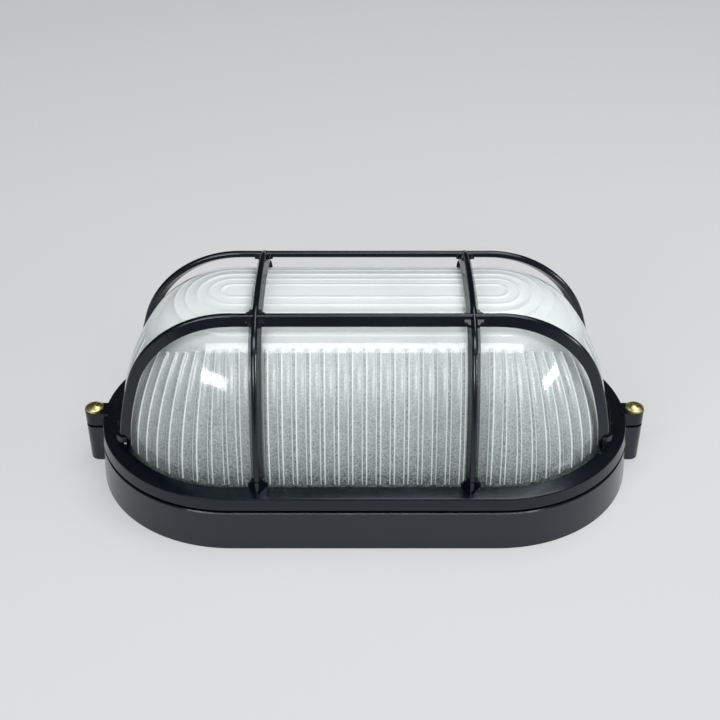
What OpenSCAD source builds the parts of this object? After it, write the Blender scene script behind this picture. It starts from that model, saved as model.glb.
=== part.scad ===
/* [Outline] */
// Half of the straight length of the oval, from centre to centre of the round ends
core_half = 50; // [42:1:60]
// Outline radius of the base at its rim
rim_r = 56.1; // [50.5:0.1:60]
// How much further out the base reaches at the wall than at its rim
base_flare = 0.9; // [0:0.1:2.5]
// Height of the base rim above the wall
base_h = 16.5; // [15.5:0.5:20]

/* [Base casting] */
// Thickness of the outer skirt
skirt_t = 2.6; // [2:0.1:3]
// Clear width of the back channel between the skirt and the pan wall
channel_w = 4.5; // [3.5:0.1:5.5]
// Thickness of the pan wall
pan_t = 2.5; // [1.8:0.1:3]
// Height of the ledge that carries the gasket
ledge_z = 13.3; // [12.3:0.1:14]
// Thickness of the ledge
ledge_t = 2.5; // [2:0.1:3]
// Recess behind the floor, which leaves room for the cable
floor_z = 3; // [2.4:0.1:4]
// Thickness of the floor
floor_t = 2.6; // [2:0.1:3.2]
// Thickness of the ribs in the back channel
back_rib_t = 2; // [1.5:0.1:2.5]

/* [Wall fixing] */
// Distance of a mounting hole from the pan wall
fix_edge = 8.5; // [7.5:0.5:10]
// Radius of a mounting hole
fix_hole_r = 2.6; // [2:0.1:3]
// Radius of the pad round a mounting hole
fix_pad_r = 6.6; // [5.5:0.1:7]
// Place of the cable entry along the light
entry_x = 34; // [28:1:38]
// Radius of the cable entry in the floor
entry_r = 8; // [6:0.5:9]

/* [Glass] */
// Play between the glass flange and the skirt, on the radius
flange_play = 1.2; // [0.8:0.1:1.6]
// Width of the glass flange, outside the wall of the glass
flange_w = 5.1; // [4:0.1:5.6]
// Height of the glass crown above the wall
glass_top = 80.5; // [77:0.5:84]
// Thickness of the glass
glass_t = 3.2; // [2.6:0.1:3.8]
// Radius of the shallow crown arc
crown_arc = 98; // [85:1:120]
// Radius of the shoulder arc
shoulder_arc = 27; // [23:0.5:29]
// Radius of the long arc of the side wall
wall_arc = 85; // [82:1:100]
// Thickness of the glass flange
flange_t = 3.5; // [2.5:0.1:4]
// Thickness of the gasket under the flange
gasket_t = 2; // [1.5:0.1:2.5]
// Number of flutes round a quarter of the glass
flutes_quarter = 23; // [18:1:25]
// Width of one flute
flute_w = 1.6; // [1.2:0.1:2]
// Depth of a flute and of a crown ring
flute_d = 0.7; // [0.5:0.1:0.9]
// Height on the shoulder where the flutes end, in degrees from upright
flute_top = 45; // [40:1:50]
// Number of oval rings inside the crown
crown_rings = 5; // [3:1:5]
// Distance between two crown rings
ring_pitch = 4.4; // [3.6:0.1:4.8]

/* [Guard] */
// Gap between the base rim and the guard ring
seam_gap = 1.1; // [0.6:0.1:1.6]
// Height of the outer edge of the guard ring above the wall
ring_edge_z = 22.8; // [22:0.1:24]
// Rise of the ring face towards the glass
ring_rise = 0.9; // [0.4:0.1:1.2]
// Clear width between the glass wall and the guard ring
ring_play = 1.8; // [1.4:0.1:2.4]
// Radius of the soft outer edge of the ring
ring_edge_r = 0.8; // [0.4:0.1:1.2]
// Width of a guard bar at its root
bar_w = 4.6; // [4:0.1:5.4]
// Height of a guard bar, from its inner face to its ridge
bar_h = 4.2; // [3.6:0.1:5]
// Radius of the ridge of a guard bar
ridge_r = 1.2; // [0.8:0.1:1.6]
// Clear gap between the glass and the hoops, at their feet and at the crown
hoop_gap = 1.3; // [1.2:0.1:2]
// Radius of a hoop's ridge over the crown
hoop_arc = 115; // [105:1:130]
// Radius of the bends of a hoop
hoop_bend = 26; // [20:1:28]
// Radius of the long curve of a hoop's legs
hoop_leg = 93; // [91:1:104]
// Least gap that is kept between the glass and the rails
rail_gap = 1; // [0.8:0.1:1.2]
// Distance of each long rail from the middle of the light
rail_y = 23.2; // [20:0.1:26]
// Height of the ridge of the long rails above the crown of the glass
rail_rise = 2.7; // [2.2:0.1:6]
// How much tighter the bend at the end of a rail is than the glass wall
bend_inset = 5.1; // [4:0.1:6]
// Radius of the long curve of a rail's leg
rail_leg = 156; // [140:1:170]
// How far the ridge of a leg stands outside the inner edge of the ring
leg_stand = 2.2; // [1.8:0.1:2.8]
// How much shorter a rail's straight stretch is than the oval's, at each end
rail_inset = 1.1; // [0:0.1:4]
// Distance of a hoop from the end of the oval's straight length
hoop_inset = 10.4; // [6:0.2:16]
// Width of the splayed foot of a bar
foot_w = 7.4; // [6:0.2:9]
// Radius of the fillets where the bars cross
web_r = 1.4; // [1:0.1:2]
// Bead that a bend stands proud of the bars that it joins
bend_bead = 0.04; // [0.02:0.01:0.1]

/* [Ears and cover screws] */
// Distance of an ear screw outside the rim
ear_reach = 3.4; // [3.1:0.1:4.6]
// Radius of an ear
ear_r = 3.9; // [3.8:0.1:4.6]
// Height of the top of a guard ear
ear_top = 23.3; // [22.8:0.1:24.5]
// Radius of the M4 cover screws
cover_screw_r = 2; // [1.5:0.1:2.1]
// Radius of a cover screw head
cover_head_r = 3.65; // [3.2:0.05:3.8]
// Height of a cover screw head
cover_head_h = 2.3; // [1.8:0.1:2.8]
// Length of a cover screw under its head
cover_screw_l = 18; // [14:0.5:20]
// Clearance of a screw in a plain hole, on the radius
screw_clear = 0.2; // [0.1:0.05:0.3]
// Clearance left for the thread in a tapped hole, on the radius
tap_clear = 0.05; // [0.02:0.01:0.1]

/* [Lamp and lampholder] */
// Height of the lamp axis above the wall
lamp_z = 43; // [41:0.5:44]
// Greatest radius of the lamp
lamp_r = 27.5; // [22:0.5:28]
// Length of the lamp
lamp_l = 98; // [90:1:104]
// Clear length between the bracket's foot and the end of the pan
bracket_edge = 17; // [15:0.5:19]
// Length of the lampholder
holder_l = 38; // [34:1:40]
// Outer radius of the lampholder
holder_r = 19.5; // [18:0.5:20]
// Radius of the lampholder's seating flange
holder_flange_r = 21; // [20:0.5:22]
// Thickness of the bottom of the lampholder
holder_floor = 8; // [6:0.5:9]
// Bore of the lampholder
holder_bore_r = 14.5; // [14.3:0.1:15]
// Mean inner radius of the threaded shell
shell_r = 13.5; // [13.4:0.05:13.7]
// Thickness of the threaded shell
shell_t = 0.5; // [0.3:0.05:0.6]
// Pitch of the lamp thread
thread_pitch = 3.6; // [3.4:0.1:3.7]
// Depth of the lamp thread on the radius, from mean to crest
thread_a = 0.35; // [0.2:0.05:0.4]
// Radial play between the lamp cap and the shell
cap_play = 0.3; // [0.2:0.05:0.4]
// Thickness of the bracket sheet
bracket_t = 1.5; // [1:0.1:2]
// Width of the bracket
bracket_w = 32; // [28:1:36]
// Length of the bracket foot
bracket_foot = 22; // [20:0.5:23]
// Distance between the two bracket screws
bracket_pitch = 18; // [16:0.5:20]
// Distance between the two lampholder screws
holder_pitch = 16; // [14:0.5:17]

/* [Reflector and wiring] */
// Height of the underside of the reflector above the wall
tray_z = 10; // [9.5:0.1:11]
// Thickness of the reflector sheet
tray_t = 0.6; // [0.5:0.1:1]
// Clear width between the reflector and the pan wall
tray_play = 4.5; // [3.5:0.5:6]
// Height of the turned-up long edges of the reflector
tray_lip = 3; // [2:0.2:4]
// Gap between the bracket and the reflector
bracket_gap = 3; // [2:0.5:6]
// Gap between the reflector and the terminal block, where the wires go down
wire_way = 5.5; // [5.5:0.5:8]
// Distance of a reflector screw from the long edge of the reflector
tray_screw_edge = 8; // [6:0.5:10]
// Distance of the middle of the terminal block beyond the oval's straight length
block_set = 21; // [20:0.5:22]
// Length of the terminal block, along its wire holes
block_l = 16; // [14:0.5:18]
// Height of the terminal block
block_h = 12; // [11:0.5:13]
// Distance between two poles of the terminal block
pole_pitch = 10; // [9:0.5:11]
// Radius of the insulated wires
wire_r = 1.1; // [0.9:0.05:1.2]
// Distance of each wire hole in the lampholder from its axis
wire_hole_set = 9; // [8.5:0.5:10]
// Distance of the live wire from the middle of the light
live_y = 17.8; // [17.4:0.2:18.6]
// Distance of the neutral wire from the middle of the light
neutral_y = 22.5; // [21.5:0.5:25]

/* [Hidden] */
$fn = 72;
cast_black = [0.10, 0.11, 0.12];
brass = [0.80, 0.62, 0.28];
zinc = [0.72, 0.73, 0.74];
porcelain = [0.93, 0.92, 0.88];
cut = 0.5;

base_r = rim_r + base_flare;
pan_r = rim_r - skirt_t - channel_w - pan_t;
fix_x = core_half + pan_r - fix_edge;
flange_r = rim_r - skirt_t - flange_play;
glass_r = flange_r - flange_w;
ring_in_r = glass_r + ring_play;
ear_x = core_half + rim_r + ear_reach;
hoop_x = core_half - hoop_inset;
holder_x = -core_half - pan_r + bracket_edge + bracket_foot + bracket_t;
block_x = core_half + block_set;
tray_r = pan_r - tray_play;
tray_left = holder_x + bracket_gap;
tray_right = block_x - block_l / 2 - wire_way;
tray_screw_y = tray_r - tray_screw_edge;
floor_top = floor_z + floor_t;
gasket_top = ledge_z + gasket_t;
flange_top = gasket_top + flange_t;
ring_z = base_h + seam_gap;
ring_in_z = ring_edge_z + ring_rise;
ring_step_r = flange_r + 0.6;
hoop_stand = hoop_gap + bar_h;

// The glass section is three arcs that touch: the wall arc stands level at the flange,
// the crown arc is centred on the middle plane, and the shoulder arc touches both.
wall_c = [glass_r - wall_arc, flange_top];
crown_c = [0, glass_top - crown_arc];
shoulder_c = circles_meet(crown_c, crown_arc - shoulder_arc, wall_c, wall_arc - shoulder_arc);
crown_turn = atan2(shoulder_c[0] - crown_c[0], shoulder_c[1] - crown_c[1]);
wall_turn = atan2(shoulder_c[0] - wall_c[0], shoulder_c[1] - wall_c[1]);

// Upper of the two points, right of the line between the centres, where two circles meet
function circles_meet(a, ra, b, rb) =
    let (d = norm(b - a), along = (d * d + ra * ra - rb * rb) / (2 * d),
         off = sqrt(ra * ra - along * along), u = (b - a) / d,
         p = a + along * u - off * [u[1], -u[0]], q = a + along * u + off * [u[1], -u[0]])
    p[1] > q[1] ? p : q;

// Point at an angle from the vertical on an arc
function on_arc(c, r, turn) = c + r * [sin(turn), cos(turn)];

// Points of an arc between two such angles
function arc_points(c, r, from, to, steps) =
    [for (i = [0:steps]) on_arc(c, r, from + (to - from) * i / steps)];

// Outline of the dome from the crown down to the flange, grown by gap
function dome_line(gap) =
    let (lean = (wall_turn - crown_turn) / 12, drop = (90 - wall_turn) / 12)
    concat(arc_points(crown_c, crown_arc + gap, 0, crown_turn, 4),
           arc_points(shoulder_c, shoulder_arc + gap, crown_turn + lean, wall_turn, 11),
           arc_points(wall_c, wall_arc + gap, wall_turn + drop, 90, 11));

function backwards(list) = [for (i = [len(list) - 1:-1:0]) list[i]];

module oval(r, half = core_half) {
    square([2 * half, 2 * r], center = true);
    for (side = [-1, 1]) {
        translate([side * half, 0]) circle(r);
    }
}

// Solid oval of one height, standing at z
module oval_plate(r, z, h, half = core_half) {
    translate([0, 0, z]) linear_extrude(h) oval(r, half);
}

// Carries a half section, drawn right of the axis, all the way round the oval
module round_oval() {
    for (side = [-1, 1]) {
        translate([side * core_half, 0, 0]) rotate([0, 0, -90 * side])
            rotate_extrude(angle = 180) children();
    }
    for (side = [0, 1]) {
        mirror([0, side, 0]) translate([-core_half, 0, 0]) rotate([90, 0, 90])
            linear_extrude(2 * core_half) children();
    }
}

// Solid dome over the oval, grown by gap
module dome(gap) {
    half = concat(dome_line(gap), [[glass_r + gap, ledge_z]]);
    other_half = [for (p = half) [-p[0], p[1]]];
    for (side = [-1, 1]) {
        translate([side * core_half, 0, 0]) rotate([0, 0, -90 * side]) rotate_extrude(angle = 180)
            polygon(concat([[0, ledge_z]], half));
    }
    translate([-core_half, 0, 0]) rotate([90, 0, 90]) linear_extrude(2 * core_half)
        polygon(concat(backwards(other_half), half));
}

// Base
module base_section() {
    skirt_in = rim_r - skirt_t;
    difference() {
        polygon([[pan_r, 0], [base_r, 0], [rim_r, base_h - rim_break], [rim_r - rim_break, base_h],
                 [skirt_in, base_h], [skirt_in, ledge_z], [pan_r, ledge_z]]);
        polygon([[pan_r + pan_t, -cut], [base_r - skirt_t, -cut],
                 [skirt_in, ledge_z - ledge_t], [pan_r + pan_t, ledge_z - ledge_t]]);
        translate([0, -cut]) square([pan_r + pan_t + cut, floor_z + cut]);
    }
}

// Lug for a cover screw, with a neck that starts inside the wall
module lug(neck_from, from, to) {
    translate([ear_x, 0, from]) cylinder(r = ear_r, h = to - from);
    translate([neck_from, -ear_r, from]) cube([ear_x - neck_from, 2 * ear_r, to - from]);
}

module base_lugs() {
    for (side = [0, 1]) {
        mirror([side, 0, 0]) lug(core_half + rim_r - skirt_t / 2, 0, base_h);
    }
}

module back_rib() {
    from = pan_r + pan_t / 2;
    length = base_r - skirt_t / 2 - from;
    low = 0.6;
    translate([from, -back_rib_t / 2, low]) cube([length, back_rib_t, ledge_z - ledge_t / 2 - low]);
}

module back_ribs() {
    rib_pitch = 0.72 * core_half;
    for (side = [-1, 1], i = [-1:1]) {
        translate([i * rib_pitch, 0, 0]) rotate([0, 0, 90 * side]) back_rib();
    }
    for (side = [-1, 1], turn = [-45, 45]) {
        translate([side * core_half, 0, 0]) rotate([0, 0, turn + (side > 0 ? 0 : 180)]) back_rib();
    }
}

boss_r = 4;
small_r = 1.5;
small_l = 6;
small_head_r = 2.8;
small_head_h = 1.8;
bare_r = 0.9;
holder_back = holder_x - bracket_t;
bracket_screw_x = holder_back - bracket_foot / 2 - 1;
tray_screw_x = 3;
earth_pos = [block_x - 2, -31];
block_z = floor_top + 1.4;
block_screw_r = 1.25;
block_screw_in = 2.5;
earth_screw_r = 2;
washer_h = 0.8;
earth_stack = washer_h + 2;
rim_break = 0.4;

module boss(x, y, top) {
    translate([x, y, floor_z]) cylinder(r = boss_r, h = top - floor_z);
}

module bosses() {
    for (side = [-1, 1]) {
        boss(bracket_screw_x, side * bracket_pitch / 2, tray_z);
        boss(tray_screw_x, side * tray_screw_y, tray_z);
        boss(block_x, side * pole_pitch / 2, block_z);
        translate([side * fix_x, 0, 0]) cylinder(r = fix_pad_r, h = floor_top);
    }
    boss(earth_pos[0], earth_pos[1], tray_z);
}

// Cutter for a hole through a sheet of thickness t, which starts a cut below it
module hole(r, t) {
    cylinder(r = r, h = t + 2 * cut);
}

module tapped(x, y, top, depth, r = small_r) {
    translate([x, y, top - depth]) cylinder(r = r + tap_clear, h = depth + cut);
}

module base_casting() {
    color(cast_black) difference() {
        union() {
            round_oval() base_section();
            oval_plate(pan_r + pan_t / 2, floor_z, floor_t);
            base_lugs();
            back_ribs();
            bosses();
        }
        for (side = [-1, 1]) {
            tapped(side * ear_x, 0, base_h, base_h + cover_screw_l + 1 - ear_top, cover_screw_r);
            translate([side * fix_x, 0, -cut]) hole(fix_hole_r, floor_top);
            tapped(bracket_screw_x, side * bracket_pitch / 2, tray_z, small_l);
            tapped(tray_screw_x, side * tray_screw_y, tray_z, small_l);
            tapped(block_x, side * pole_pitch / 2, block_z, block_screw_in + 0.7, block_screw_r);
        }
        tapped(earth_pos[0], earth_pos[1], tray_z, small_l, earth_screw_r);
        translate([entry_x, 0, floor_z - cut]) hole(entry_r, floor_t);
    }
}

// Guard
// Section of a bar, root at the bottom, with flanks that run into a round ridge.
// The root may rise at a slope from its right corner, which shortens the left flank.
module bar_section(grow = 0, width = bar_w, slope = 0) {
    half = width / 2 + grow;
    r = ridge_r + grow;
    ridge = [0, bar_h - ridge_r];
    lean = atan2(ridge[1], half) + asin(r / norm([half, ridge[1]]));
    touch = ridge + r * [sin(lean), cos(lean)];
    flank = [half - touch[0], touch[1]];
    share = (2 * half * tan(slope) - grow) / (flank[1] + flank[0] * tan(slope));
    polygon([[-half, 0] + share * flank, [half, -grow], [half, 0], touch, ridge, [-touch[0], touch[1]]]);
    translate(ridge) circle(r);
}

// Part of a bar that bends about c in the plane of x and z, between two angles from the vertical.
// A bend that joins two others laps them and stands proud by the bead.
module bent_bar(c, inner, from, to, slope = 0, joins = false) {
    lap = joins ? 0.6 : 0;
    translate([c[0], 0, c[1]]) rotate([90, 0, 0]) rotate([0, 0, 90 - to - lap])
        rotate_extrude(angle = to - from + 2 * lap)
            translate([inner, 0]) rotate(-90) bar_section(joins ? bend_bead : 0, bar_w, slope);
}

module straight_bar(half, z, slope) {
    translate([-half, 0, z]) rotate([90, 0, 90]) linear_extrude(2 * half) bar_section(0, bar_w, slope);
}

web_h = 2;
foot_z = flange_top + 1.4;
rail_top = glass_top + rail_rise;
rail_half = core_half - rail_inset;
rail_bend = glass_r - bend_inset;

// A leg carries on from the bend and meets the ring, which sets how far the bend turns
bend_c = [rail_half, rail_top - rail_bend];
leg_foot = [core_half + sqrt(pow(ring_in_r + leg_stand, 2) - rail_y * rail_y), foot_z];
leg_way = leg_foot - bend_c;
leg_off = rail_leg - rail_bend;
leg_cos = (rail_leg * rail_leg - leg_way * leg_way - leg_off * leg_off) / (2 * leg_off * norm(leg_way));
rail_turn = atan2(leg_way[0], leg_way[1]) - acos(leg_cos);
leg_c = on_arc(bend_c, -leg_off, rail_turn);
rail_foot_turn = acos((foot_z - leg_c[1]) / rail_leg);

// A hoop is three arcs that touch, like the glass, but its bends stand further out
hoop_top_c = [0, glass_top + hoop_stand - hoop_arc];
hoop_leg_c = [glass_r + hoop_stand - hoop_leg, foot_z];
hoop_bend_c = circles_meet(hoop_top_c, hoop_arc - hoop_bend, hoop_leg_c, hoop_leg - hoop_bend);
hoop_top_turn = atan2(hoop_bend_c[0], hoop_bend_c[1] - hoop_top_c[1]);
hoop_leg_turn = atan2(hoop_bend_c[0] - hoop_leg_c[0], hoop_bend_c[1] - hoop_leg_c[1]);

// Lean of the glass under a rail, which the inner face of the rail follows
rail_lean = asin((rail_y - shoulder_c[0]) / shoulder_arc);

module rail() {
    straight_bar(rail_half, rail_top - bar_h, rail_lean);
    for (side = [0, 1]) {
        mirror([side, 0, 0]) {
            bent_bar(bend_c, rail_bend - bar_h, 0, rail_turn, rail_lean, joins = true);
            bent_bar(leg_c, rail_leg - bar_h, rail_turn, rail_foot_turn, rail_lean);
        }
    }
}

module hoop() {
    rotate([0, 0, 90]) {
        bent_bar(hoop_top_c, hoop_arc - bar_h, -hoop_top_turn, hoop_top_turn);
        for (side = [0, 1]) {
            mirror([side, 0, 0]) {
                bent_bar(hoop_bend_c, hoop_bend - bar_h, hoop_top_turn, hoop_leg_turn, joins = true);
                bent_bar(hoop_leg_c, hoop_leg - bar_h, hoop_leg_turn, 90);
            }
        }
    }
}

module ring_section() {
    top_r = rim_r - 0.7;
    edge = arc_points([top_r - ring_edge_r, ring_edge_z - ring_edge_r], ring_edge_r, 8, 86, 5);
    inner = [[ring_in_r, flange_top], [ring_in_r, ring_in_z - rim_break],
             [ring_in_r + rim_break, ring_in_z]];
    outer = [[rim_r - 0.1, ring_z + 0.3], [rim_r - rim_break, ring_z]];
    step = [[ring_step_r, ring_z], [ring_step_r, flange_top]];
    polygon(concat(inner, edge, outer, step));
}

// Splayed foot of a bar, standing at the origin with its ridge towards +x
module foot() {
    splay = (foot_w - bar_w) / 2;
    curve = 4 * splay;
    intersection() {
        rotate([0, 0, -90]) linear_extrude(curve) bar_section(0, foot_w);
        rotate([90, 0, 90]) linear_extrude(2 * bar_h) difference() {
            translate([-foot_w, 0]) square([2 * foot_w, curve]);
            for (side = [-1, 1]) {
                translate([side * (bar_w / 2 + curve - 0.2), curve + 0.8]) circle(curve);
            }
        }
    }
}

module feet() {
    stand = ring_in_r - 0.35;
    leg_x = core_half + sqrt(stand * stand - rail_y * rail_y) - 0.9;
    for (side = [-1, 1], end = [0, 1]) {
        translate([side * hoop_x, 0, ring_in_z - 1]) rotate([0, 0, 90 + 180 * end])
            translate([stand, 0, 0]) foot();
        mirror([end, 0, 0]) translate([leg_x, side * rail_y, ring_in_z - 1]) foot();
    }
}

// Fillets in the four corners where a hoop crosses a rail
module crossing_webs() {
    middle_r = hoop_bend - bar_h / 2;
    lean = asin((rail_y - hoop_bend_c[0]) / middle_r);
    half = bar_w / 2 + web_r - 0.2;
    middle_z = hoop_bend_c[1] + middle_r * cos(lean);
    for (side = [-1, 1], end = [0, 1]) {
        mirror([0, end, 0]) translate([side * hoop_x, rail_y, middle_z]) rotate([-lean, 0, 0])
            translate([0, 0, -web_h / 2]) linear_extrude(web_h) difference() {
                square(2 * half, center = true);
                for (i = [-1, 1], j = [-1, 1]) {
                    translate([i * half, j * half]) circle(web_r);
                }
            }
    }
}

module guard_lugs() {
    for (side = [0, 1]) {
        mirror([side, 0, 0]) lug(core_half + ring_step_r + 0.5, ring_z, ear_top);
    }
}

module guard_frame() {
    color(cast_black) difference() {
        union() {
            round_oval() ring_section();
            guard_lugs();
            difference() {
                union() {
                    for (side = [0, 1]) {
                        mirror([0, side, 0]) translate([0, rail_y, 0]) rail();
                        mirror([side, 0, 0]) translate([hoop_x, 0, 0]) hoop();
                    }
                    crossing_webs();
                    feet();
                }
                dome(rail_gap);
            }
        }
        for (side = [-1, 1]) {
            translate([side * ear_x, 0, ring_z - cut])
                cylinder(r = cover_screw_r + screw_clear, h = ear_top - ring_z + 2 * cut);
        }
    }
}

// Glass
flute_foot_z = flange_top + 4.5;
glass_in_r = glass_r - glass_t;
flute_quarter = core_half + 90 * glass_in_r * PI / 180;
flute_pitch = flute_quarter / flutes_quarter;
flute_root = 0.9;

module glass_section() {
    flange = [[flange_r, flange_top], [flange_r, gasket_top], [glass_in_r, gasket_top]];
    polygon(concat(dome_line(0), flange, backwards(dome_line(-glass_t))));
}

// Section of a flute on the inside of the wall, from its foot up to the shoulder
module flute_band() {
    face = -glass_t - flute_d;
    root = flute_root - glass_t;
    foot_turn = acos((flute_foot_z - wall_c[1]) / (wall_arc + face));
    polygon(concat(arc_points(wall_c, wall_arc + face, foot_turn, wall_turn, 4),
                   [for (r = [face, root]) on_arc(shoulder_c, shoulder_arc + r, flute_top)],
                   arc_points(wall_c, wall_arc + root, wall_turn, foot_turn, 2)));
}

module end_flute(turn) {
    spread = flute_w / glass_in_r * 180 / PI;
    rotate([0, 0, turn - spread / 2]) rotate_extrude(angle = spread) flute_band();
}

module flutes() {
    straight = floor(core_half / flute_pitch);
    for (i = [-straight:straight], side = [0, 1]) {
        mirror([0, side, 0]) translate([i * flute_pitch - flute_w / 2, 0, 0]) rotate([90, 0, 90])
            linear_extrude(flute_w) flute_band();
    }
    for (i = [straight + 1:flutes_quarter], side = [0, 1]) {
        turn = 90 - (i * flute_pitch - core_half) / glass_in_r * 180 / PI;
        mirror([side, 0, 0]) translate([core_half, 0, 0]) {
            end_flute(turn);
            if (i < flutes_quarter) {
                end_flute(-turn);
            }
        }
    }
}

module crown_ring_section() {
    for (i = [1:crown_rings]) {
        r = i * ring_pitch;
        on_crown = r < (crown_arc - glass_t) * sin(crown_turn);
        centre = on_crown ? crown_c : shoulder_c;
        arc = (on_crown ? crown_arc : shoulder_arc) - glass_t;
        translate([r, centre[1] + sqrt(arc * arc - pow(r - centre[0], 2))])
            square([flute_w * 0.7, 2 * flute_d], center = true);
    }
}

module glass_cover() {
    color([0.86, 0.92, 0.90, 0.6]) {
        round_oval() glass_section();
        round_oval() crown_ring_section();
        flutes();
    }
}

module cover_gasket() {
    color([0.15, 0.15, 0.15]) difference() {
        oval_plate(flange_r, ledge_z, gasket_t);
        oval_plate(pan_r + 1, ledge_z - cut, gasket_t + 2 * cut);
    }
}

// Screws, drawn with the underside of the head at the origin and the shank pointing down
module pan_screw(r, length, head_r, head_h, recess = "cross") {
    dome_r = 1.5 * head_r;
    difference() {
        union() {
            intersection() {
                cylinder(r = head_r, h = head_h);
                translate([0, 0, head_h - dome_r]) sphere(dome_r);
            }
            translate([0, 0, -length]) cylinder(r = r, h = length + head_h / 2);
        }
        for (turn = recess == "cross" ? [0, 90] : [0]) {
            reach = head_r * (recess == "cross" ? 0.55 : 1.1);
            rotate([0, 0, turn]) translate([-reach, -head_r * 0.12, head_h * 0.45])
                cube([2 * reach, head_r * 0.24, head_h]);
        }
    }
}

module small_screw(length = small_l, recess = "cross") {
    pan_screw(small_r, length, small_head_r, small_head_h, recess);
}

module guard_screw(side) {
    color(brass) translate([side * ear_x, 0, ear_top])
        rotate([0, 0, side * 25]) pan_screw(cover_screw_r, cover_screw_l, cover_head_r, cover_head_h);
}

module guard_screw_left() {
    guard_screw(-1);
}

module guard_screw_right() {
    guard_screw(1);
}

// Lamp and lampholder, drawn along +z from the bracket face and then laid along the light
module along_lamp() {
    translate([holder_x, 0, lamp_z]) rotate([0, 90, 0]) children();
}

holder_lip = holder_l - 2;
shell_from = holder_floor + 4.5;
contact_z = shell_from + 1.2;
contact_t = 0.6;

module lampholder_body() {
    color(porcelain) along_lamp() difference() {
        rotate_extrude() polygon([[0, 0], [holder_flange_r - 0.6, 0], [holder_flange_r, 0.6],
            [holder_flange_r, 6], [holder_r, 8], [holder_r, holder_l - 4], [holder_r - 1.5, holder_l],
            [holder_bore_r + 1.2, holder_l], [holder_bore_r, holder_lip], [holder_bore_r, holder_floor],
            [0, holder_floor]]);
        for (side = [-1, 1]) {
            translate([0, side * holder_pitch / 2, -cut]) hole(small_r + screw_clear, holder_floor);
            translate([side * wire_hole_set, 0, -cut]) hole(wire_r + 0.4, holder_floor);
        }
    }
}

function wave(r, z) = r + thread_a * cos(360 * z / thread_pitch);
function wave_line(r, from, to, steps) =
    [for (i = [0:steps]) let (z = from + (to - from) * i / steps) [wave(r, z), z]];

module lampholder_shell() {
    shell_to = holder_lip - 0.5;
    color(brass) along_lamp() {
        rotate_extrude() polygon(concat(wave_line(shell_r, shell_from, shell_to, 40),
            backwards(wave_line(shell_r + shell_t, shell_from, shell_to, 40))));
        // Feet that stand the shell on the bottom of the holder
        for (turn = [45:90:315]) {
            rotate([0, 0, turn]) translate([shell_r - 0.1, -1.5, holder_floor])
                cube([shell_t, 3, shell_from + 1 - holder_floor]);
        }
    }
}

module strip(points, width, t) {
    for (i = [0:len(points) - 2]) {
        a = points[i];
        b = points[i + 1];
        turn = atan2(b[1] - a[1], b[0] - a[0]);
        translate([a[0], 0, a[1]]) rotate([0, -turn, 0]) translate([-t / 2, -width / 2, -t / 2])
            cube([norm(b - a) + t, width, t]);
    }
}

// A flat foot on the floor of the holder, and a spring tongue bent back over it
module centre_contact() {
    low = holder_floor + contact_t / 2;
    high = contact_z - contact_t / 2 - 0.06;
    // Keeps the lower corner of the slanting tongue off the floor
    lift = 0.22 * contact_t;
    color(brass) along_lamp() {
        strip([[wire_hole_set, low], [3, low]], 5, contact_t);
        strip([[3, low + lift], [-3, high - 0.14], [3, high]], 5, contact_t);
    }
}

module shell_contact() {
    low = holder_floor + contact_t / 2;
    riser = shell_r - thread_a - contact_t / 2 - 0.1;
    color(brass) along_lamp()
        strip([[2.5 - wire_hole_set, low], [-riser, low], [-riser, shell_from + 0.4]], 2.4, contact_t);
}

module lampholder_screws() {
    color(zinc) along_lamp() for (side = [-1, 1]) {
        translate([0, side * holder_pitch / 2, holder_floor])
            small_screw(holder_floor + bracket_t + 4, "slot");
    }
}

module lampholder_nuts() {
    nut_h = 2.4;
    color(zinc) along_lamp() for (side = [-1, 1]) {
        translate([0, side * holder_pitch / 2, -bracket_t - nut_h]) difference() {
            cylinder(r = 3.1, h = nut_h, $fn = 6);
            translate([0, 0, -cut]) hole(small_r + tap_clear, nut_h);
        }
    }
}

module lampholder_bracket() {
    top = lamp_z + holder_flange_r - 2;
    bend = 3;
    color(zinc) difference() {
        union() {
            translate([0, bracket_w / 2, 0]) rotate([90, 0, 0]) linear_extrude(bracket_w) {
                translate([holder_back, tray_z + bend]) square([bracket_t, top - tray_z - bend]);
                translate([holder_back - bracket_foot, tray_z])
                    square([bracket_foot + bracket_t - bend, bracket_t]);
                intersection() {
                    translate([holder_x - bend, tray_z]) square(bend);
                    translate([holder_x - bend, tray_z + bend]) difference() {
                        circle(bend);
                        circle(bend - bracket_t);
                    }
                }
            }
        }
        for (side = [-1, 1]) {
            translate([bracket_screw_x, side * bracket_pitch / 2, tray_z - cut])
                hole(small_r + screw_clear, bracket_t);
            along_lamp() translate([0, side * holder_pitch / 2, -bracket_t - cut])
                hole(small_r + screw_clear, bracket_t);
            along_lamp() translate([side * wire_hole_set, 0, -bracket_t - cut])
                hole(wire_r + 0.8, bracket_t);
        }
    }
}

module bracket_screws() {
    color(zinc) for (side = [-1, 1]) {
        translate([bracket_screw_x, side * bracket_pitch / 2, tray_z + bracket_t]) small_screw();
    }
}

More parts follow.
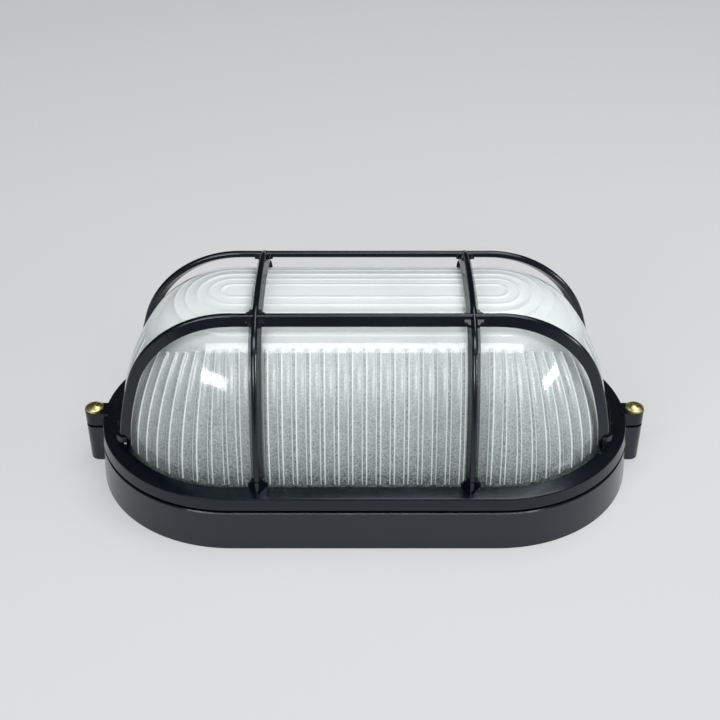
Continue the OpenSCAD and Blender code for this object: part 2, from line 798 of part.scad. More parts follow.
module lamp() {
    cap_l = 24;
    neck_r = 14;
    neck_z = cap_l + 2;
    bulb_z = lamp_l - lamp_r;
    cap_r = shell_r - cap_play;
    flare = 24;
    cap = [[0, 0], [4.8, 0], [5, 1.5], [9, 3], [cap_r - thread_a, 5]];
    collar = [[cap_r, cap_l - 2], [neck_r - 0.6, cap_l], [neck_r, neck_z]];
    neck_rise = bulb_z - lamp_r * sin(flare) - neck_z;
    neck = [for (i = [1:10]) let (t = i / 10, s = t * t * (3 - 2 * t))
        [neck_r + (lamp_r * cos(flare) - neck_r) * s, neck_z + neck_rise * t]];
    bulb = [for (a = [-flare + 6:6:84]) [lamp_r * cos(a), bulb_z + lamp_r * sin(a)]];
    color([0.97, 0.97, 0.95]) along_lamp() translate([0, 0, contact_z]) rotate_extrude()
        polygon(concat(cap, wave_from_cap(cap_r, 5.2, cap_l - 3, 36), collar, neck, bulb, [[0, lamp_l]]));
}

function wave_from_cap(r, from, to, steps) =
    [for (i = [0:steps]) let (z = from + (to - from) * i / steps) [wave(r, z + contact_z), z]];

// Reflector and wiring
module tray_outline(r) {
    intersection() {
        oval(r);
        translate([tray_left, -tray_r]) square([tray_right - tray_left, 2 * tray_r]);
    }
}

module reflector_plate() {
    color([0.95, 0.95, 0.94]) difference() {
        union() {
            translate([0, 0, tray_z]) linear_extrude(tray_t) tray_outline(tray_r);
            translate([0, 0, tray_z]) linear_extrude(tray_lip) difference() {
                tray_outline(tray_r);
                oval(tray_r - tray_t);
            }
        }
        for (side = [-1, 1]) {
            translate([tray_screw_x, side * tray_screw_y, tray_z - cut])
                hole(small_r + screw_clear, tray_t);
        }
    }
}

module reflector_screws() {
    color(zinc) for (side = [-1, 1]) {
        translate([tray_screw_x, side * tray_screw_y, tray_z + tray_t]) small_screw();
    }
}

pole_z = block_z + block_h * 0.42;
block_base_h = block_h * 0.75;
sleeve_r = 2.1;
tower_w = 5.6;
clamp_r = 1.25;
clamp_h = 4.4;

module each_pole() {
    for (i = [-1:1]) {
        translate([block_x, i * pole_pitch, 0]) children();
    }
}

// Round bar along a pole, centred on the block
module pole_bar(r, length) {
    translate([-length / 2, 0, pole_z]) rotate([0, 90, 0]) cylinder(r = r, h = length);
}

// Places over the two clamping screws of each pole, at the height of the wires
module each_clamp() {
    each_pole() for (end = [-1, 1]) {
        translate([end * block_l / 4, 0, pole_z]) children();
    }
}

module terminal_block() {
    wide = 3 * pole_pitch - 1;
    color([0.92, 0.91, 0.88]) difference() {
        union() {
            translate([block_x - block_l / 2, -wide / 2, block_z]) cube([block_l, wide, block_base_h]);
            each_pole() pole_bar(pole_pitch / 2 - 0.8, block_l);
            each_pole() translate([-block_l / 2 + 1, -tower_w / 2, block_z])
                cube([block_l - 2, tower_w, block_h]);
        }
        each_pole() pole_bar(sleeve_r + 0.1, 2 * block_l);
        each_clamp() cylinder(r = 1.9, h = block_h);
        for (side = [-1, 1]) {
            translate([block_x, side * pole_pitch / 2, block_z - cut])
                cylinder(r = block_screw_r + screw_clear, h = block_h);
        }
    }
}

module terminal_sleeves() {
    color(brass) difference() {
        each_pole() pole_bar(sleeve_r, block_l - 2);
        each_pole() pole_bar(wire_r + 0.2, 2 * block_l);
        each_clamp() cylinder(r = clamp_r + tap_clear, h = block_h);
    }
}

module terminal_screws() {
    color(zinc) each_clamp() translate([0, 0, wire_r + 0.05]) difference() {
        cylinder(r = clamp_r, h = clamp_h);
        translate([-2, -0.3, clamp_h - 0.8]) cube([4, 0.6, 2]);
    }
}

module terminal_block_screws() {
    color(zinc) for (side = [-1, 1]) {
        translate([block_x, side * pole_pitch / 2, block_z + block_base_h])
            pan_screw(block_screw_r, block_base_h + block_screw_in, 2.1, 1.4, "slot");
    }
}

module earth_screw() {
    color(brass) translate([earth_pos[0], earth_pos[1], tray_z + earth_stack])
        pan_screw(earth_screw_r, earth_stack + small_l - 0.8, 3.6, 2.2);
}

module earth_washer() {
    color(zinc) translate([earth_pos[0], earth_pos[1], tray_z]) difference() {
        cylinder(r = 4, h = washer_h);
        translate([0, 0, -cut]) hole(earth_screw_r + screw_clear, washer_h);
    }
}

module cable_grommet() {
    hole_r = entry_r - 3;
    lip_r = entry_r + 2;
    low = floor_z - 1.8;
    high = floor_top + 1.6;
    color([0.12, 0.12, 0.12]) translate([entry_x, 0, 0]) rotate_extrude()
        polygon([[hole_r, low], [lip_r, low], [lip_r, floor_z], [entry_r, floor_z], [entry_r, floor_top],
                 [lip_r, floor_top], [lip_r - 0.4, high], [hole_r, high]]);
}

// Wire through a row of points, with a ball a little larger than the wire at each bend,
// which is turned so that its seam lies on the outside of the bend
module wire(points, r = wire_r) {
    for (i = [0:len(points) - 2]) {
        way = points[i + 1] - points[i];
        translate(points[i]) {
            rotate([0, acos(way[2] / norm(way)), atan2(way[1], way[0])])
                cylinder(r = r, h = norm(way));
            if (i > 0) {
                back = points[i - 1] - points[i];
                lean = way / norm(way) + back / norm(back);
                rotate([0, 0, atan2(-lean[1], -lean[0])]) sphere(r + bend_bead);
            }
        }
    }
}

wire_in_block = block_x - block_l / 4;
// Two lanes between the reflector and the block, in which the wires go down side by side
lane_space = 0.3;
near_lane = block_x - block_l / 2 - wire_r - lane_space;
far_lane = near_lane - 2 * wire_r - lane_space;
wire_z = floor_top + 2.2;
behind_x = holder_back - 6.5;

// Wire from the block down its lane, under the reflector at y, up behind the bracket and into
// the lampholder at z
module feed_wire(pole, lane, y, z) {
    wire([[wire_in_block, pole * pole_pitch, pole_z], [lane, pole * pole_pitch, pole_z],
          [lane, y, wire_z], [behind_x + 4, y, wire_z], [behind_x, y, wire_z + 4],
          [behind_x, y, z - 5], [behind_x, 0, z], [holder_x + holder_floor - 0.1, 0, z]]);
}

module live_wire() {
    color([0.35, 0.20, 0.12]) feed_wire(0, far_lane, live_y, lamp_z - wire_hole_set);
}

module neutral_wire() {
    color([0.15, 0.30, 0.60]) feed_wire(1, near_lane, neutral_y, lamp_z + wire_hole_set);
}

module earth_wire() {
    loop_r = 3.1;
    loop_z = tray_z + 1.8;
    side_x = earth_pos[0] - loop_r;
    y = earth_pos[1];
    color([0.35, 0.60, 0.20]) {
        wire([[wire_in_block, -pole_pitch, pole_z], [near_lane, -pole_pitch, pole_z],
              [near_lane, y + 13, loop_z], [side_x, y + 7, loop_z], [side_x, y + 3.5, loop_z]]);
        // Bare end, turned into a loop under the head of the earth screw
        translate([side_x, y + 4, loop_z]) rotate([90, 0, 0])
            cylinder(r = bare_r + bend_bead, h = 4.3);
        translate([earth_pos[0], y, loop_z]) rotate([0, 0, 180]) rotate_extrude(angle = 270)
            translate([loop_r, 0]) circle(bare_r);
    }
}

base_casting();
guard_frame();
glass_cover();
cover_gasket();
guard_screw_left();
guard_screw_right();
lampholder_body();
lampholder_shell();
centre_contact();
shell_contact();
lampholder_screws();
lampholder_nuts();
lampholder_bracket();
bracket_screws();
lamp();
reflector_plate();
reflector_screws();
terminal_block();
terminal_sleeves();
terminal_screws();
terminal_block_screws();
earth_screw();
earth_washer();
live_wire();
neutral_wire();
earth_wire();
cable_grommet();
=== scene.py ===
"""An oval bulkhead light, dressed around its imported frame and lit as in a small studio."""

import math

import bpy
import numpy as np
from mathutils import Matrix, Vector


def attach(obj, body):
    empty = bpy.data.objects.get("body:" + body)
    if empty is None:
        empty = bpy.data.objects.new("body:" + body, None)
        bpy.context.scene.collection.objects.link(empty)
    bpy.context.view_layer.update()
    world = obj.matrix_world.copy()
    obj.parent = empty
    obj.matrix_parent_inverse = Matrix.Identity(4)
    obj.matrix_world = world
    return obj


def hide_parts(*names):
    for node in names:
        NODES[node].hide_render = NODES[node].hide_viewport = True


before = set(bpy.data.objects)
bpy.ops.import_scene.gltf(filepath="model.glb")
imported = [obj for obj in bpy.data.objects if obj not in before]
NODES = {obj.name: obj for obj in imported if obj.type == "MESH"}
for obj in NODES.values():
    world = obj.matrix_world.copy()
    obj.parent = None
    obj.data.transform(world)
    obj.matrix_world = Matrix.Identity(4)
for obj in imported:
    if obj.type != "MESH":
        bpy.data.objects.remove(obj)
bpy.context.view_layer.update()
MM = 0.001

# The camera that the outlines of the photograph give, for a square frame of FRAME_PX that is
# shifted sideways by SHIFT_PX. Lens and sensor are in millimetres, and CAMERA_DOWN is in degrees
SENSOR = 36
CAMERA_LENS = 59.2
CAMERA_PLACE = Vector((0, -385.8, 310.5)) * MM
CAMERA_DOWN = 34.32
CLIP_START = 10 * MM
FRAME_PX = 720
SHIFT_PX = -4.5

# The glass, as the part's source has it: a dome of three arcs that touch, carried round an oval
CORE_HALF = 50 * MM
GLASS_R = 47.2 * MM
GLASS_TOP = 80.5 * MM
GLASS_T = 3.2 * MM
INNER_R = GLASS_R - GLASS_T
FLANGE_R = 52.3 * MM
FLANGE_LOW = 15.3 * MM
FLANGE_TOP = 18.8 * MM
CROWN_ARC = 98 * MM
SHOULDER_ARC = 27 * MM
WALL_ARC = 85 * MM

# Round-ended flutes on the inside of the wall: FLUTES_STRAIGHT on each side of the middle one, then
# FLUTES_TURN in each quarter turn. Their tops come down by END_DROP towards the tips of the oval
FLUTES_STRAIGHT = 9
FLUTES_TURN = 12
FLUTE_PITCH = 5.16 * MM
FLUTE_FIRST_TURN = math.radians(2)
FLUTE_TURN = math.radians(7.65)
FLUTE_HALF = 0.8 * MM
FLUTE_SLOPE = 0.5 * MM
FLUTE_DEPTH = 0.7 * MM
FLUTE_FOOT = FLANGE_TOP + 2.2 * MM
FLUTE_TOP = math.radians(45)
END_DROP = 12 * MM

# Oval rings on the inside of the crown
RINGS = 5
RING_PITCH = 4.4 * MM
RING_HALF = 0.55 * MM
RING_DEPTH = 0.3 * MM

# Rows of points from the crown to the foot of the glass, and columns round it. The inside has more
# rows over both ends of the flutes, over each ring and between rings and flutes, and more columns
# at EDGE_COLUMNS from the edges of each flute. The rows over an end lie between the two numbers of
# END_SPAN, counted inwards from it in half widths of a flute
OUTSIDE_ROWS = 60
INSIDE_ROWS = 32
FLUTE_END_ROWS = 11
END_SPAN = (-0.5, 1.5)
RING_ROWS = 7
BETWEEN_ROWS = 7
PLAIN_COLUMNS = 184
EDGE_COLUMNS = np.array([-0.3, -0.1, 0.1, 0.3]) * MM

# Slack for an angle at the seam of two arcs
SEAM_SLACK = 1e-9

# Share of white on the crown, out to the angle after it from upright: the frost of its close rings with
# painted light from above. Then, past a fade, the share at the top of the wall, which falls to none at
# the foot as painted shade. Then the gain of the painted highlights along the edges of the flutes, and
# FLUTE_CLEAR, the share of frost that is missing inside them
CROWN_WHITE = 0.96
CROWN_WHITE_END = math.radians(28)
CROWN_WHITE_FADE = 6 * MM
WALL_FROST = 0.56
FLUTE_EDGE_HIGHLIGHT = 6
FLUTE_CLEAR = 0.4
# The mesh attribute that carries the share of white: frost, with painted light and shade in it
FROST_AND_LIGHT_SHARE = "frost_and_light_share"

# The order of the glass's materials
CLEAR, FROST = 0, 1

# Share of the frost's white that passes light on, and share of gloss over it
FROST_THROUGH = 0.15
FROST_GLOSS = 0.06

# Specular level of the coat on the case and on the guard
CASE_SHEEN = 0.7
GUARD_SHEEN = 0.5

# The values of a noise that a finish spreads over its range, and the relief of coat and grain
NOISE_SPAN = (0.3, 0.7)
PEEL_DEPTH = 0.06 * MM
GRAIN_DEPTH = 0.02 * MM

# The floor, in metres, just under the light. Where it is seen, this share of it is an even glow,
# against the fall of the lamps' light
FLOOR_SIZE = 6
FLOOR_GAP = 0.2 * MM
FLOOR_EVEN = 0.5

# What the lamps look at, in metres, and the strength of the sky in front and behind
LAMP_AIM = Vector((0, 0, 0.05))
SKY_FRONT = 0.22
SKY_BACK = 0.05


def add_object(name, data):
    """A new object in the scene."""
    made = bpy.data.objects.new(name, data)
    bpy.context.scene.collection.objects.link(made)
    return made


def material(name):
    """A new material and its Principled shader."""
    made = bpy.data.materials.new(name)
    made.use_nodes = True
    shader = made.node_tree.nodes["Principled BSDF"]
    return made, made.node_tree, shader


def node(tree, kind, **values):
    """Adds a node and sets its inputs by name and its settings by attribute."""
    made = tree.nodes.new(kind)
    for key, value in values.items():
        if key in made.inputs:
            made.inputs[key].default_value = value
        else:
            setattr(made, key, value)
    return made


def noise(tree, scale, detail, stretch=(1, 1, 1)):
    """Noise in the object's own coordinates, with an optional stretch."""
    place = node(tree, "ShaderNodeTexCoord")
    mapping = node(tree, "ShaderNodeMapping", Scale=stretch)
    texture = node(tree, "ShaderNodeTexNoise", Scale=scale, Detail=detail)
    tree.links.new(place.outputs["Object"], mapping.inputs["Vector"])
    tree.links.new(mapping.outputs["Vector"], texture.inputs["Vector"])
    return texture.outputs["Fac"]


def spread(tree, value, old, new, socket):
    """Maps a value from one range of numbers to another and links it to a socket."""
    limits = dict(zip(("From Min", "From Max", "To Min", "To Max"), (*old, *new)))
    ranged = node(tree, "ShaderNodeMapRange", **limits)
    tree.links.new(value, ranged.inputs["Value"])
    tree.links.new(ranged.outputs["Result"], socket)


def two_tone(tree, fac, low, high, socket):
    """Blends two colours by a noise and links the result to a socket."""
    ramp = node(tree, "ShaderNodeValToRGB")
    for stop, position, colour in zip(ramp.color_ramp.elements, NOISE_SPAN, (low, high)):
        stop.position = position
        stop.color = (*colour, 1)
    tree.links.new(fac, ramp.inputs["Fac"])
    tree.links.new(ramp.outputs["Color"], socket)


def bump(tree, shader, fac, depth, strength):
    """Small relief from a noise."""
    made = node(tree, "ShaderNodeBump", Strength=strength, Distance=depth)
    tree.links.new(fac, made.inputs["Height"])
    tree.links.new(made.outputs["Normal"], shader.inputs["Normal"])


def mix(tree, share, first, second):
    """Mixes two shaders by the share of the second, which is a number or a socket."""
    made = node(tree, "ShaderNodeMixShader")
    if isinstance(share, float):
        made.inputs["Fac"].default_value = share
    else:
        tree.links.new(share, made.inputs["Fac"])
    tree.links.new(first, made.inputs[1])
    tree.links.new(second, made.inputs[2])
    return made.outputs["Shader"]


def any_ray(tree, first, *others):
    """1 for rays of the kinds named, else 0."""
    path = node(tree, "ShaderNodeLightPath")
    share = path.outputs[first]
    for ray in others:
        either = node(tree, "ShaderNodeMath", operation="MAXIMUM")
        tree.links.new(share, either.inputs[0])
        tree.links.new(path.outputs[ray], either.inputs[1])
        share = either.outputs["Value"]
    return share


def surface(tree, output):
    """Makes a shader's output the surface of its material."""
    tree.links.new(output, tree.nodes["Material Output"].inputs["Surface"])


def coat_black(name, sheen):
    """Semi-gloss black stove enamel on cast aluminium, with a faint orange peel."""
    made, tree, shader = material(name)
    peel = noise(tree, scale=900, detail=2)
    cloud = noise(tree, scale=40, detail=4)
    two_tone(tree, cloud, (0.001, 0.002, 0.004), (0.0028, 0.0045, 0.008), shader.inputs["Base Color"])
    spread(tree, cloud, NOISE_SPAN, (0.14, 0.2), shader.inputs["Roughness"])
    shader.inputs["Specular IOR Level"].default_value = sheen
    shader.inputs["Specular Tint"].default_value = (0.84, 0.92, 1.0, 1)
    bump(tree, shader, peel, PEEL_DEPTH, strength=0.35)
    return made


def plain(name, low, high, rough, grain, metal=0.0, stretch=(1, 1, 1)):
    """A solid finish with a little variation of colour, roughness and relief."""
    made, tree, shader = material(name)
    cloud = noise(tree, grain, 4, stretch)
    two_tone(tree, cloud, low, high, shader.inputs["Base Color"])
    spread(tree, cloud, NOISE_SPAN, rough, shader.inputs["Roughness"])
    shader.inputs["Metallic"].default_value = metal
    bump(tree, shader, noise(tree, grain * 8, 2, stretch), GRAIN_DEPTH, strength=0.4)
    return made


def glass_clear():
    """The clear outside of the pressed glass. Lamps and diffuse light pass straight through it."""
    made, tree, shader = material("fluted_glass")
    shader.inputs["Base Color"].default_value = (0.98, 0.995, 0.99, 1)
    shader.inputs["Transmission Weight"].default_value = 1.0
    shader.inputs["Roughness"].default_value = 0.09
    shader.inputs["IOR"].default_value = 1.5
    through = node(tree, "ShaderNodeBsdfTransparent", Color=(0.94, 0.96, 0.955, 1))
    lit = any_ray(tree, "Is Shadow Ray", "Is Diffuse Ray")
    surface(tree, mix(tree, lit, shader.outputs["BSDF"], through.outputs["BSDF"]))
    return made


def glass_frost():
    """The frosted inside of the glass, from a thin grainy film to a dense white. The share of white
    also paints light on the crown and along the edges of the flutes, and shade towards the foot.
    """
    made, tree, shader = material("glass_frost")
    tree.nodes.remove(shader)
    colour = node(tree, "ShaderNodeMix", data_type="RGBA")
    share = node(tree, "ShaderNodeAttribute", attribute_name=FROST_AND_LIGHT_SHARE)
    tree.links.new(share.outputs["Fac"], colour.inputs["Factor"])
    two_tone(tree, noise(tree, scale=1700, detail=1), (0.02, 0.035, 0.035), (0.34, 0.40, 0.39),
             colour.inputs["A"])
    colour.inputs["B"].default_value = (0.96, 1.0, 0.995, 1)
    face = node(tree, "ShaderNodeBsdfDiffuse")
    through = node(tree, "ShaderNodeBsdfTranslucent")
    for side in (face, through):
        tree.links.new(colour.outputs["Result"], side.inputs["Color"])
    white = mix(tree, FROST_THROUGH, face.outputs["BSDF"], through.outputs["BSDF"])
    gloss = node(tree, "ShaderNodeBsdfGlossy", Roughness=0.25)
    surface(tree, mix(tree, FROST_GLOSS, white, gloss.outputs["BSDF"]))
    return made


def circles_meet(first, first_r, second, second_r):
    """The upper of the two points where two circles meet."""
    way = second - first
    apart = np.hypot(*way)
    along = (apart * apart + first_r * first_r - second_r * second_r) / (2 * apart)
    off = math.sqrt(first_r * first_r - along * along)
    foot = first + along * way / apart
    side = off * np.array([-way[1], way[0]]) / apart
    return max(foot + side, foot - side, key=lambda point: point[1])


def dome_arcs():
    """Centre, radius and first and last angle from upright of the crown, the shoulder and the wall."""
    wall = np.array([GLASS_R - WALL_ARC, FLANGE_TOP])
    crown = np.array([0, GLASS_TOP - CROWN_ARC])
    shoulder = circles_meet(crown, CROWN_ARC - SHOULDER_ARC, wall, WALL_ARC - SHOULDER_ARC)
    first = math.atan2(*(shoulder - crown))
    second = math.atan2(*(shoulder - wall))
    return [(crown, CROWN_ARC, 0, first), (shoulder, SHOULDER_ARC, first, second),
            (wall, WALL_ARC, second, math.pi / 2)]


def dome_place(gap, at):
    """Points and outward normals of the half section, grown by gap, at lengths from the crown."""
    points, normals = np.empty((len(at), 2)), np.empty((len(at), 2))
    start = 0
    for centre, radius, first, last in dome_arcs():
        grown = radius + gap
        turn = first + (at - start) / grown
        mine = turn >= first - SEAM_SLACK
        outward = np.stack([np.sin(turn), np.cos(turn)], 1)
        points[mine] = (centre + grown * outward)[mine]
        normals[mine] = outward[mine]
        start += grown * (last - first)
    return points, normals


def dome_length(gap, turn=math.pi / 2):
    """Length of the half section, grown by gap, from the crown to an angle from upright."""
    return sum((radius + gap) * max(min(turn, last) - first, 0)
               for _, radius, first, last in dome_arcs())


def soft_step(distance, half, slope):
    """1 inside a groove, falling smoothly to 0 over the slope at its edge."""
    inside = np.clip((half + slope / 2 - distance) / slope, 0, 1)
    return inside * inside * (3 - 2 * inside)


def quarter_length(inner):
    """A quarter of the way round the oval of radius inner."""
    return CORE_HALF + math.pi / 2 * inner


def around(places, inner):
    """Columns at places along the oval of radius inner.

    They have the x of the centre that each turns about, its outward direction and whether it is on a
    round end.
    """
    quarter = quarter_length(inner)
    part, within = np.divmod(places + quarter, 2 * quarter)
    along = within - quarter
    flip = np.where(part % 2 == 0, 1.0, -1.0)
    turn = np.maximum(np.abs(along) - CORE_HALF, 0) / inner * np.sign(along)
    centre_x = flip * np.clip(along, -CORE_HALF, CORE_HALF)
    on_end = np.abs(along) > CORE_HALF
    return centre_x, flip * np.sin(turn), -flip * np.cos(turn), on_end


class Skin:
    """Strips of quads that run round the oval, gathered into one mesh."""

    def __init__(self):
        self.vertices, self.faces, self.frosts, self.paints, self.count = [], [], [], [], 0

    def strip(self, columns, radius, height, frost, paint):
        """Adds rows of points, given as arrays of rows by columns."""
        centre_x, out_x, out_y, _ = columns
        rows, wide = radius.shape
        x = centre_x + radius * out_x
        y = radius * out_y
        self.vertices.append(np.stack([x, y, height], 2).reshape(-1, 3))
        self.frosts.append(frost.reshape(-1))
        here = np.arange(wide)
        after = (here + 1) % wide
        low = self.count + np.arange(rows - 1)[:, None] * wide
        corners = [low + here, low + wide + here, low + wide + after, low + after]
        self.faces.append(np.stack(corners, 2).reshape(-1, 4))
        self.paints.append(np.full((rows - 1) * wide, paint))
        self.count += rows * wide

    def build(self, name, *materials):
        """Makes the mesh, with materials in the order that the paints count in."""
        mesh = bpy.data.meshes.new(name)
        vertices, faces = np.concatenate(self.vertices), np.concatenate(self.faces)
        mesh.from_pydata(vertices.tolist(), [], faces.tolist())
        for made in materials:
            mesh.materials.append(made)
        mesh.polygons.foreach_set("material_index", np.concatenate(self.paints))
        mesh.polygons.foreach_set("use_smooth", np.ones(len(mesh.polygons), dtype=bool))
        attribute = mesh.attributes.new(FROST_AND_LIGHT_SHARE, "FLOAT", "POINT")
        attribute.data.foreach_set("value", np.concatenate(self.frosts).astype(np.float32))
        mesh.update()
        return add_object(name, mesh)


def add_outside(skin):
    """The smooth outside of the dome, then the flange round to its bore, which is frosted."""
    places = np.arange(PLAIN_COLUMNS) * 4 * quarter_length(INNER_R) / PLAIN_COLUMNS
    columns = around(places, INNER_R)
    dome, _ = dome_place(0, np.linspace(0, dome_length(0), OUTSIDE_ROWS))
    corners = [dome[-1], (FLANGE_R, FLANGE_TOP), (FLANGE_R, FLANGE_LOW), (INNER_R, FLANGE_LOW),
               (INNER_R, FLANGE_TOP)]
    paints = [CLEAR, CLEAR, CLEAR, CLEAR, FROST]
    for points, paint in zip([dome, *zip(corners, corners[1:])], paints):
        points = np.array(points)
        size = (len(points), PLAIN_COLUMNS)
        radius, height = np.broadcast_to(points[:, :1], size), np.broadcast_to(points[:, 1:], size)
        skin.strip(columns, radius, height, np.zeros(size), paint)


def flute_columns():
    """Places round the inside, closer together at each flute, and their distances from its middle."""
    quarter = quarter_length(INNER_R)
    straight = np.arange(-FLUTES_STRAIGHT, FLUTES_STRAIGHT + 1) * FLUTE_PITCH
    turned = CORE_HALF + (FLUTE_FIRST_TURN + np.arange(FLUTES_TURN) * FLUTE_TURN) * INNER_R
    front = np.concatenate([-turned[::-1], straight, turned])
    flutes = np.concatenate([front, front + 2 * quarter])[:, None]
    gaps = np.diff(flutes, axis=0, append=flutes[:1] + 4 * quarter)
    near = np.concatenate([[0], FLUTE_HALF + EDGE_COLUMNS])
    offsets = np.concatenate([np.tile(near, (len(flutes), 1)), gaps / 2, gaps - near[:0:-1]], 1)
    from_flute = np.minimum(offsets, gaps - offsets)
    return (flutes + offsets).reshape(-1), from_flute.reshape(-1)


def add_inside(skin):
    """The frosted inside of the dome, with flutes down its wall and rings on its crown."""
    places, from_flute = flute_columns()
    columns = around(places, INNER_R)
    _, out_x, _, on_end = columns

    # Lengths from the crown to the ends of the flutes and to the rows
    whole = dome_length(-GLASS_T)
    top_at = dome_length(-GLASS_T, FLUTE_TOP)
    wall_arc = WALL_ARC - GLASS_T
    foot_at = whole - wall_arc * math.asin((FLUTE_FOOT - FLANGE_TOP) / wall_arc)
    over_end = np.linspace(*END_SPAN, FLUTE_END_ROWS) * FLUTE_HALF
    over_ring = np.linspace(-1, 1, RING_ROWS) * (RING_HALF + FLUTE_SLOPE / 2)
    rings = (np.arange(1, RINGS + 1)[:, None] * RING_PITCH + over_ring).reshape(-1)
    between = np.linspace(rings[-1], top_at - FLUTE_HALF, BETWEEN_ROWS)
    evenly = np.linspace(0, whole, INSIDE_ROWS)
    rows = np.unique(np.concatenate([evenly, top_at + over_end, between, foot_at - over_end, rings]))

    # The rows at the tops of the flutes come down with them, and those of the rings and feet stay
    drop = END_DROP * out_x ** 2
    bends = [rings[-1], top_at - FLUTE_HALF, top_at + 2 * FLUTE_HALF, foot_at - 2 * FLUTE_HALF]
    at = rows[:, None] + np.interp(rows, bends, [0, 1, 1, 0])[:, None] * drop
    points, normals = (found.reshape(*at.shape, 2) for found in dome_place(-GLASS_T, at.reshape(-1)))

    # On the round ends, the flutes narrow and draw together towards the crown
    reach = np.where(on_end, points[:, :, 0] / INNER_R, 1.0)
    past_end = np.maximum(np.maximum(top_at - rows, rows - foot_at) + FLUTE_HALF, 0)[:, None]
    flute = soft_step(np.hypot(from_flute * reach, past_end), FLUTE_HALF * reach, FLUTE_SLOPE)
    nearest = np.clip(np.round(rows / RING_PITCH), 1, RINGS) * RING_PITCH
    ring = soft_step(np.abs(rows - nearest), RING_HALF, FLUTE_SLOPE)[:, None]
    depth = np.maximum(FLUTE_DEPTH * flute, RING_DEPTH * ring)
    radius = points[:, :, 0] + depth * normals[:, :, 0]
    height = points[:, :, 1] + depth * normals[:, :, 1]

    # The end of the crown's white, its frost with painted light from above, comes down as the flutes
    # do.
    # Down the wall the white falls to none at the foot, which paints shade there
    crown_at = dome_length(-GLASS_T, CROWN_WHITE_END)
    frost = np.interp(at - drop, [crown_at, crown_at + CROWN_WHITE_FADE, whole], [CROWN_WHITE, WALL_FROST, 0])
    # Painted highlights along both edges of each flute
    edge = np.clip(FLUTE_EDGE_HIGHLIGHT * flute * (1 - flute), 0, 1)
    skin.strip(columns, radius, height, np.maximum(edge, frost * (1 - FLUTE_CLEAR * flute)), FROST)


def glass_piece():
    """The pressed glass with its flange, in place of the plainer one of the frame."""
    skin = Skin()
    add_outside(skin)
    add_inside(skin)
    made = skin.build("glass_cover_fine", glass_clear(), glass_frost())
    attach(made, "root")
    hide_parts("glass_cover")


def dress(finish, *names):
    """Puts one material on CAD nodes."""
    for name in names:
        data = NODES[name].data
        data.materials.clear()
        data.materials.append(finish)
        data.polygons.foreach_set("material_index", [0] * len(data.polygons))


def paint_all():
    """Dresses the CAD nodes. A plain finish has two colours, then its range of roughness."""
    dress(coat_black("black_coat_case", CASE_SHEEN), "base_casting")
    dress(coat_black("black_coat_guard", GUARD_SHEEN), "guard_frame")
    dress(plain("black_rubber", (0.012,) * 3, (0.03,) * 3, (0.6, 0.8), grain=300),
          "cover_gasket", "cable_grommet")
    dress(plain("yellow_brass", (0.44, 0.38, 0.16), (0.76, 0.68, 0.36), (0.26, 0.42), grain=500,
                metal=1.0),
          "guard_screw_left", "guard_screw_right", "earth_screw")
    dress(plain("contact_brass", (0.60, 0.42, 0.16), (0.80, 0.62, 0.30), (0.30, 0.45), grain=300,
                metal=1.0),
          "lampholder_shell", "centre_contact", "shell_contact", "terminal_sleeves")
    dress(plain("porcelain", (0.80, 0.79, 0.75), (0.88, 0.87, 0.84), (0.12, 0.2), grain=120),
          "lampholder_body")
    dress(plain("zinc_plate", (0.50, 0.52, 0.54), (0.68, 0.70, 0.72), (0.28, 0.42), grain=400,
                metal=1.0),
          "lampholder_screws", "lampholder_nuts", "bracket_screws", "reflector_screws",
          "terminal_screws", "terminal_block_screws", "earth_washer")
    dress(plain("zinc_sheet", (0.52, 0.54, 0.56), (0.66, 0.68, 0.70), (0.3, 0.4), grain=150,
                metal=1.0, stretch=(1, 8, 1)),
          "lampholder_bracket")
    dress(plain("frosted_bulb", (0.84, 0.84, 0.81), (0.92, 0.92, 0.90), (0.35, 0.5), grain=200),
          "lamp")
    dress(plain("white_enamel", (0.80, 0.80, 0.78), (0.88, 0.88, 0.86), (0.2, 0.3), grain=150),
          "reflector_plate")
    dress(plain("pale_plastic", (0.74, 0.72, 0.66), (0.82, 0.80, 0.74), (0.4, 0.5), grain=300),
          "terminal_block")
    dress(plain("brown_sleeve", (0.13, 0.05, 0.02), (0.20, 0.09, 0.04), (0.4, 0.5), grain=300),
          "live_wire")
    dress(plain("blue_sleeve", (0.03, 0.10, 0.34), (0.05, 0.16, 0.46), (0.4, 0.5), grain=300),
          "neutral_wire")
    dress(plain("green_sleeve", (0.10, 0.34, 0.05), (0.16, 0.46, 0.09), (0.4, 0.5), grain=300),
          "earth_wire")


def camera():
    """The view of the photograph."""
    made = add_object("camera", bpy.data.cameras.new("camera"))
    made.location = CAMERA_PLACE
    made.rotation_euler = (math.radians(90 - CAMERA_DOWN), 0, 0)
    made.data.sensor_width = SENSOR
    made.data.lens = CAMERA_LENS
    made.data.shift_x = SHIFT_PX / FRAME_PX
    made.data.clip_start = CLIP_START
    bpy.context.scene.camera = made


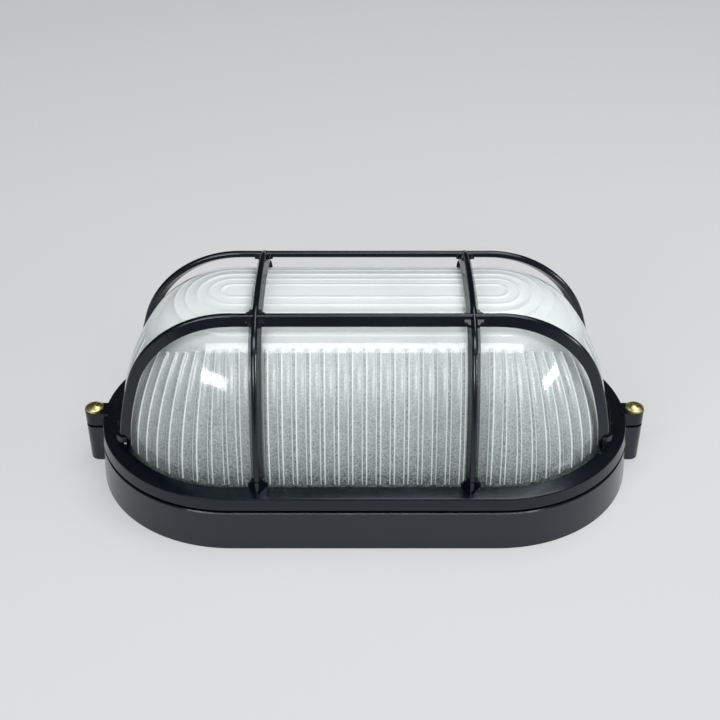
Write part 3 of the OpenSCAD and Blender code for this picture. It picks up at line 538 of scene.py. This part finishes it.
def floor():
    """A plain pale floor, evened out as the eye, the gloss and the glass see it."""
    bpy.ops.mesh.primitive_plane_add(size=FLOOR_SIZE, location=(0, 0, -FLOOR_GAP))
    made = bpy.context.object
    made.name = "floor"
    paint, tree, shader = material("pale_floor")
    shader.inputs["Base Color"].default_value = (0.63, 0.64, 0.65, 1)
    shader.inputs["Roughness"].default_value = 0.8
    even = node(tree, "ShaderNodeEmission", Color=(0.72, 0.725, 0.73, 1))
    share = node(tree, "ShaderNodeMath", operation="MULTIPLY")
    seen = any_ray(tree, "Is Camera Ray", "Is Glossy Ray", "Is Transmission Ray")
    tree.links.new(seen, share.inputs[0])
    share.inputs[1].default_value = FLOOR_EVEN
    surface(tree, mix(tree, share.outputs["Value"], shader.outputs["BSDF"], even.outputs["Emission"]))
    made.data.materials.append(paint)


def softbox(name, place, size, power):
    """A rectangular lamp that looks at the light. Place and size are in metres, power in watts."""
    light = bpy.data.lights.new(name, "AREA")
    light.shape = "RECTANGLE"
    light.size, light.size_y = size
    light.energy = power
    made = add_object(name, light)
    made.location = place
    made.rotation_euler = (LAMP_AIM - Vector(place)).to_track_quat("-Z", "Y").to_euler()


def lights():
    """Four softboxes and a pale sky that is brighter in front."""
    softbox("overhead", (0.25, 0.12, 0.95), size=(0.75, 0.5), power=4.4)
    softbox("front_box", (0, -0.68, 1.01), size=(1.5, 0.32), power=8.9)
    softbox("left_box", (-0.43, -0.88, 0.49), size=(0.5, 0.13), power=3.0)
    softbox("right_box", (0.95, -0.45, 0.30), size=(0.38, 0.085), power=3.4)
    world = bpy.data.worlds.new("studio")
    bpy.context.scene.world = world
    world.use_nodes = True
    tree = world.node_tree
    sky = tree.nodes["Background"]
    sky.inputs["Color"].default_value = (0.86, 0.90, 0.94, 1)
    way = node(tree, "ShaderNodeTexCoord")
    parts = node(tree, "ShaderNodeSeparateXYZ")
    tree.links.new(way.outputs["Generated"], parts.inputs["Vector"])
    spread(tree, parts.outputs["Y"], (-1, 1), (SKY_FRONT, SKY_BACK), sky.inputs["Strength"])


paint_all()
glass_piece()
camera()
floor()
lights()
bpy.context.scene.view_settings.view_transform = "Standard"
